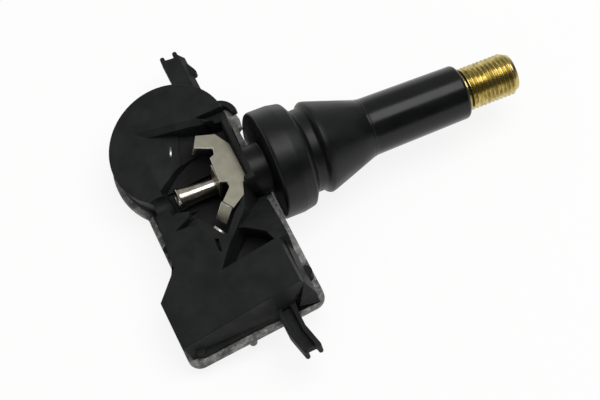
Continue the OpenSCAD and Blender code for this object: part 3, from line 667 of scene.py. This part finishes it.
def thread_grid():
    """Points at x = start + row step + pitch a / 2 pi, clipped to the thread's ends.

    The radius is top - depth (1 - ridge). The ridge is a triangle wave, made steeper and sunk a
    little, so that clipping it leaves a flat crest and a flat root. It fades at each end.
    """
    angle = np.linspace(0.0, 2 * np.pi, SIDES + 1)
    turns = (THREAD_END - THREAD_START) / PITCH + 1
    row = np.arange(int(np.ceil(turns * ROWS_PER_TURN)) + 1)
    travel = row[:, None] / ROWS_PER_TURN - 1 + angle[None, :] / (2 * np.pi)
    x = np.clip(THREAD_START + PITCH * travel, THREAD_START, THREAD_END)
    phase = ((x - THREAD_START) / PITCH - angle[None, :] / (2 * np.pi)) % 1.0
    ridge = np.clip(RIDGE_SLOPE * (1 - np.abs(2 * phase - 1)) - RIDGE_SINK, 0.0, 1.0)
    to_end = np.minimum(x - THREAD_START, THREAD_END - x)
    fade = np.clip(to_end / (FADE_TURNS * PITCH), 0.0, 1.0)
    r = THREAD_TOP - THREAD_DEPTH * (1 - ridge * fade)
    return np.stack([x, r * np.cos(angle), r * np.sin(angle)], axis=-1)


ROOT = THREAD_TOP - THREAD_DEPTH
STEM = [
    (THREAD_END, ROOT, 0), (40.0, 3.22, 0.1), (40.0, 2.86, 0.05), (39.62, 2.55, 0.1),
    (24.6, 2.55, 0), (24.2, 1.9, 0), (-1.0, 1.9, 0), (-1.6, 1.05, 0), (-2.0, 1.05, 0),
    (-2.0, 1.55, 0), (-6.0, 1.55, 0), (-6.0, 3.2, 0), (3.0, 3.2, 0), (3.0, 4.1, 0), (5.0, 4.1, 0),
    (5.0, 3.2, 0), (29.9, 3.2, 0.1), (30.0, ROOT, 0.1), (THREAD_START, ROOT, 0),
]
STEM_STEPS, STEM_SHARP_DEGREES = 4, 50
# The two corners where the profile meets the thread stay sharp, so the two grids share them
stem_profile = soft_profile(STEM, least_radius=0.005, steps=STEM_STEPS)[STEM_STEPS:-STEM_STEPS]
stem_profile = np.vstack([STEM[0][:2], stem_profile, STEM[-1][:2]])
thread, stem_grid = thread_grid(), turned_grid(stem_profile)
helix = grid_faces(*thread.shape[:2], stem_grid.shape[0] * SIDES, close_rows=False,
                   close_columns=False)
stem = mesh_piece("threaded_stem", np.vstack([stem_grid.reshape(-1, 3), thread.reshape(-1, 3)]),
                  np.vstack([grid_faces(len(stem_profile), SIDES, close_rows=False), helix]))
stem.data.set_sharp_from_angle(angle=np.radians(STEM_SHARP_DEGREES))
place_piece(stem, brass, "brass", "sensor", "valve_stem")
print("thread of", round((THREAD_END - THREAD_START) / PITCH, 1), "turns")

# %% [markdown]
# ## Flared tube
#
# Air reaches the housing through a thin tube whose end is opened like a trumpet. The radius grows
# with the square of the distance into the flare, and the wall keeps its thickness. The cut end is
# rounded over, which gives it the thin bright ring that shows in the light.

# %% Nickel tube
TUBE_R, TUBE_BORE_R, FLARE_R = 1.55, 1.05, 2.05
TUBE_IN, TUBE_OUT, FLARE_LENGTH = -24.2, -2.0, 5.0
LIP_R, LIP_ENDS = 0.25, 0.2
LIP_STEPS, TUBE_SHARP_DEGREES = 9, 40


def flare(base_radius, steps=24):
    """Pairs (x, base + growth (1 - u)^2) for u from 0 at the open end to 1 at the flare's end.

    The lip takes the place of the pairs that lie within LIP_ENDS of the open end.
    """
    u = np.linspace(0.0, 1.0, steps)
    pairs = np.stack([TUBE_IN + FLARE_LENGTH * u,
                      base_radius + (FLARE_R - TUBE_R) * (1 - u) ** 2], axis=-1)
    return pairs[pairs[:, 0] > TUBE_IN + LIP_ENDS]


lip_angle = np.linspace(-0.5 * np.pi, 0.5 * np.pi, LIP_STEPS)[1:-1]
lip_centre = np.array([TUBE_IN + LIP_R, FLARE_R - (TUBE_R - TUBE_BORE_R) / 2])
lip = lip_centre + LIP_R * np.stack([-np.cos(lip_angle), np.sin(lip_angle)], axis=-1)
straight = np.array([[TUBE_OUT, TUBE_R], [TUBE_OUT, TUBE_BORE_R]])
tube = turned("flared_tube", np.vstack([lip, flare(TUBE_R), straight, flare(TUBE_BORE_R)[::-1]]))
tube.data.set_sharp_from_angle(angle=np.radians(TUBE_SHARP_DEGREES))
place_piece(tube, nickel, "nickel", "sensor", "valve_tube")

# %% [markdown]
# ## Core spring
#
# The valve core's spring is a round wire on a helix round the valve's axis. Its first and last
# turns lie close, as on a real spring with closed ends, and the turns between are spread evenly.
# The pin's collar presses on its outer end.

# %% Core spring
SPRING_TURNS, SPRING_STATIONS = 7, 252
WIRE_R, WIRE_SIDES = 0.14, 12
spring_low, spring_high = (np.array(corner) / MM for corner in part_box("core_spring"))


def coiled_wire(inner_end, outer_end, radius):
    """Points (x + w cos b, (r + w sin b) cos a, (r + w sin b) sin a) at turn a and wire angle b.

    The wire's radius w is zero at the first and the last station, and that closes its ends.
    """
    turn = np.pad(np.linspace(0, SPRING_TURNS, SPRING_STATIONS), 1, mode="edge")
    wire = np.pad(np.full(SPRING_STATIONS, WIRE_R), 1)[:, None]
    along = np.interp(turn, [0, 1, SPRING_TURNS - 1, SPRING_TURNS],
                      [inner_end + WIRE_R, inner_end + 3 * WIRE_R,
                       outer_end - 3 * WIRE_R, outer_end - WIRE_R])[:, None]
    angle = 2 * np.pi * turn[:, None]
    round_wire = np.linspace(0, 2 * np.pi, WIRE_SIDES, endpoint=False)[None]
    r = radius - WIRE_R + wire * np.sin(round_wire)
    return np.stack([along + wire * np.cos(round_wire), r * np.cos(angle), r * np.sin(angle)],
                    axis=-1).reshape(-1, 3)


coil = mesh_piece("core_spring_wire", coiled_wire(spring_low[0], spring_high[0], spring_high[1]),
                  grid_faces(SPRING_STATIONS + 2, WIRE_SIDES, close_rows=False))
place_piece(coil, INSIDE["wire"], "spring_steel", "sensor", "core_spring")
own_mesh(coil)

# %% [markdown]
# ## Small bright marks
#
# Two slivers of bare metal catch the light on the black top: the end of a contact strip that
# stands in a slot of the ramp, and the sheared foot of the clip in its slot. Each is a strip with
# rounded edges, set along a line on the surface that holds it.

# %% Slivers of metal
FACE_TILT = np.radians(20.5)
STRIP_OUTWARD = (0.31, -0.25, 0.92)
STRIP_SIDES, STRIP_POWER = 24, 0.4


def from_face(points):
    """From the frame of the tilted top face to the part's: turn about Y by the face's tilt."""
    x, y, z = np.array(points, float).T
    c, s = np.cos(FACE_TILT), np.sin(FACE_TILT)
    return np.stack([x * c - z * s, y, x * s + z * c], axis=-1)


def signed_power(wave):
    """The wave's sign times its size to the power that makes a circle nearly a rectangle."""
    return np.sign(wave) * np.abs(wave) ** STRIP_POWER


def strip_along(name, start, end, width, height):
    """A bar from start to end in face coordinates, whose top lies on that line.

    Its section is the superellipse (w/2 |cos a|^p, h (|sin a|^p - 1)), with the waves' signs.
    """
    start, end = from_face([start, end])
    along = (end - start) / np.linalg.norm(end - start)
    side = np.cross(from_face([STRIP_OUTWARD])[0], along)
    side /= np.linalg.norm(side)
    up = np.cross(along, side)
    angle = np.linspace(0.0, 2 * np.pi, STRIP_SIDES, endpoint=False)
    across = signed_power(np.cos(angle)) * width / 2
    rise = (signed_power(np.sin(angle)) - 1) * height
    station, scale = np.array([0.0, 0.0, 1.0, 1.0]), np.array([0.0, 1.0, 1.0, 0.0])
    ring = across[:, None] * side + rise[:, None] * up
    points = (start + station[:, None] * (end - start))[:, None] + scale[:, None, None] * ring[None]
    return mesh_piece(name, points.reshape(-1, 3),
                      grid_faces(len(station), STRIP_SIDES, close_rows=False))


# The slivers take the same paler steel, which is partly a painted highlight.
contact = strip_along("contact_end", (-19.62, 9.79, 8.3), (-20.5, 7.79, 8.3), 0.4, 0.35)
place_piece(contact, bare_edge_and_painted_highlight, "nickel", "sensor")
foot_edge = strip_along("clip_foot_edge", (-18.93, -8.27, 8.95), (-18.02, -10.21, 8.45), 0.5, 0.4)
place_piece(foot_edge, bare_edge_and_painted_highlight, "nickel", "sensor")
